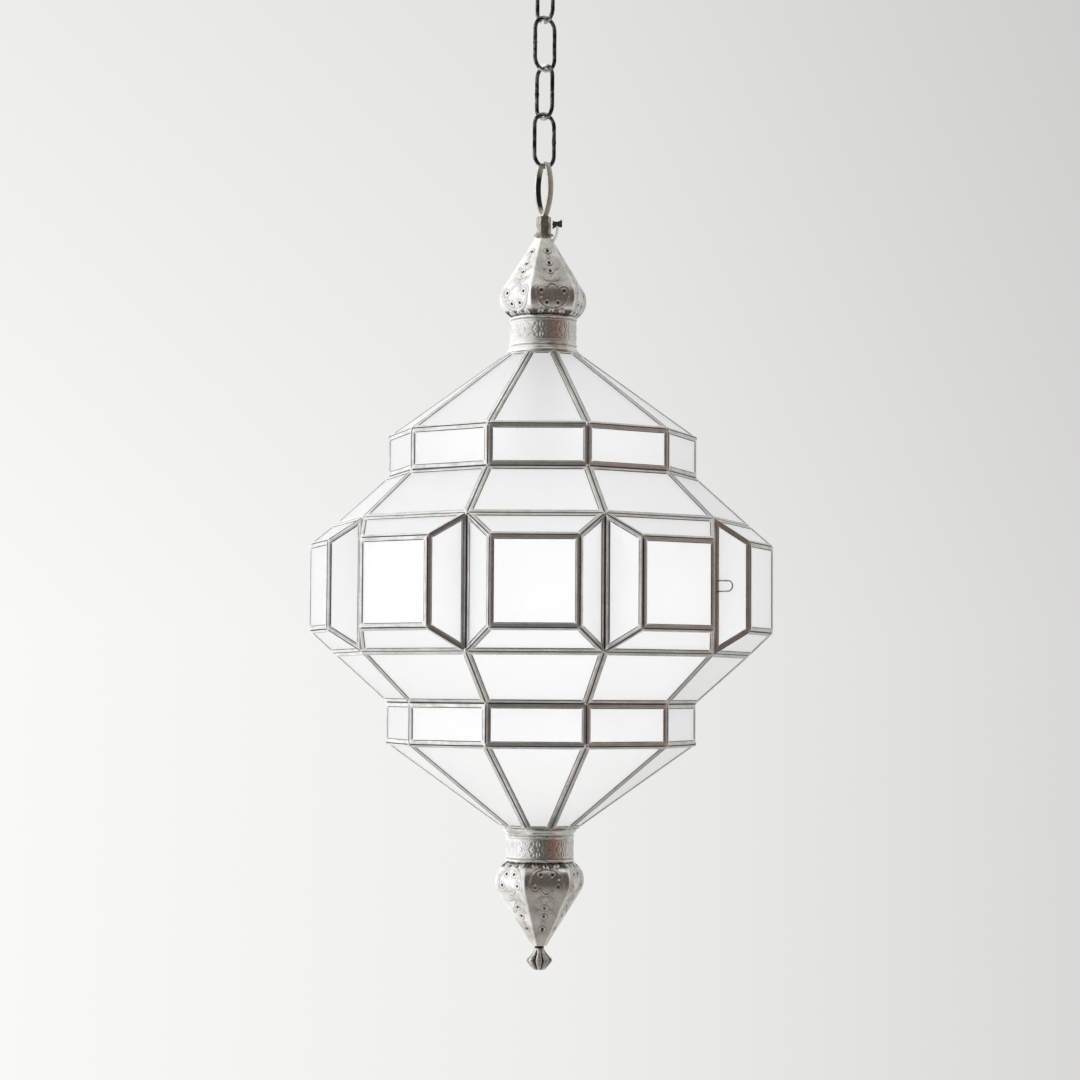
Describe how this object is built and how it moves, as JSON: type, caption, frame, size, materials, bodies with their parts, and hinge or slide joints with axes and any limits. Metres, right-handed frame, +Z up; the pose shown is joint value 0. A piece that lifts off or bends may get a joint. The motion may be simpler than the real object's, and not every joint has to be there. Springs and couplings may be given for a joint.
{
  "type": "lantern pendant light",
  "caption": "Hanging lantern of frosted panes in tin cames, with a band of projecting bays, pierced domes, a chain and a hinged door to the bulb.",
  "frame": {"origin": "centre of the hook plate's upper face, where it meets the ceiling", "axes": "+Z up along the lantern's axis, -Y towards the front bay"},
  "size_m": [0.348, 0.3456, 0.7901],
  "materials": {
    "dark_steel": "blackened",
    "bright_steel": "bright",
    "plated_steel": "zinc plated",
    "antique_tin": "antiqued",
    "cast_tin": "antiqued",
    "tinned_came": "antiqued",
    "tinned_wire": "antiqued",
    "frosted_glass": "frosted",
    "lampholder": "matte",
    "bulb_cap_metal": "spun",
    "bulb_glass": "frosted",
    "lead_sheath": "matte",
    "black_tape": "matte"
  },
  "bodies": {
    "ceiling_fitting": {"hook_plate": "dark_steel", "ceiling_hook": "dark_steel"},
    "chain_link_1": {"chain_link_1": "dark_steel"},
    "chain_link_2": {"chain_link_2": "dark_steel"},
    "chain_link_3": {"chain_link_3": "dark_steel"},
    "chain_link_4": {"chain_link_4": "dark_steel"},
    "lantern": {"bay_01_cames": "tinned_came", "bay_01_glass": "frosted_glass", "bay_02_cames": "tinned_came", "bay_02_glass": "frosted_glass", "bay_04_cames": "tinned_came", "bay_04_glass": "frosted_glass", "bay_05_cames": "tinned_came", "bay_05_glass": "frosted_glass", "bay_06_cames": "tinned_came", "bay_06_glass": "frosted_glass", "bay_07_cames": "tinned_came", "bay_07_glass": "frosted_glass", "bay_08_cames": "tinned_came", "bay_08_glass": "frosted_glass", "bay_09_cames": "tinned_came", "bay_09_glass": "frosted_glass", "bay_10_cames": "tinned_came", "bay_10_glass": "frosted_glass", "bridge_bar": "plated_steel", "crown_washer": "plated_steel", "finial_knob": "cast_tin", "frame_hinge_knuckles": "antique_tin", "hanging_ring": "bright_steel", "hinge_pin": "plated_steel", "holder_barrel": "lampholder", "holder_cap": "lampholder", "knob_nut": "plated_steel", "lead_tail": "lead_sheath", "lead_tie": "black_tape", "lower_collar": "antique_tin", "lower_cone_cames": "tinned_came", "lower_cone_glass": "frosted_glass", "lower_finial": "antique_tin", "lower_rim_cames": "tinned_came", "lower_rim_glass": "frosted_glass", "lower_shoulder_cames": "tinned_came", "lower_shoulder_glass": "frosted_glass", "ring_ferrule": "plated_steel", "stem_nut": "plated_steel", "top_dome": "antique_tin", "top_stem": "plated_steel", "upper_collar": "antique_tin", "upper_cone_cames": "tinned_came", "upper_cone_glass": "frosted_glass", "upper_rim_cames": "tinned_came", "upper_rim_glass": "frosted_glass", "upper_shoulder_cames": "tinned_came", "upper_shoulder_glass": "frosted_glass"},
    "door": {"door_cames": "tinned_came", "door_glass": "frosted_glass", "door_hinge_knuckles": "antique_tin", "door_pull": "tinned_wire"},
    "bulb": {"bulb_cap": "bulb_cap_metal", "bulb_globe": "bulb_glass"}
  },
  "joints": [
    {"name": "link_4_swing", "type": "hinge", "parent": "ceiling_fitting", "child": "chain_link_4", "pos_m": [0, 0, -0.031], "axis": [0.766, 0.6428, 0], "range_deg": [-30, 30]},
    {"name": "link_3_swing", "type": "hinge", "parent": "chain_link_4", "child": "chain_link_3", "pos_m": [0, 0, -0.06795], "axis": [0.6428, -0.766, 0], "range_deg": [-30, 30]},
    {"name": "link_2_swing", "type": "hinge", "parent": "chain_link_3", "child": "chain_link_2", "pos_m": [0, 0, -0.10535], "axis": [-0.766, -0.6428, 0], "range_deg": [-30, 30]},
    {"name": "link_1_swing", "type": "hinge", "parent": "chain_link_2", "child": "chain_link_1", "pos_m": [0, 0, -0.14275], "axis": [-0.6428, 0.766, 0], "range_deg": [-30, 30]},
    {"name": "lantern_swing", "type": "hinge", "parent": "chain_link_1", "child": "lantern", "pos_m": [0, 0, -0.18015], "axis": [0.766, 0.6428, 0], "range_deg": [-30, 30]},
    {"name": "door_hinge", "type": "hinge", "parent": "lantern", "child": "door", "pos_m": [0.1602, 0, -0.50406], "axis": [0, 0, 1], "range_deg": [0, 100]},
    {"name": "bulb_release", "type": "slide", "parent": "lantern", "child": "bulb", "axis": [0, 0, -1], "range_m": [0, 0.028]}
  ]
}
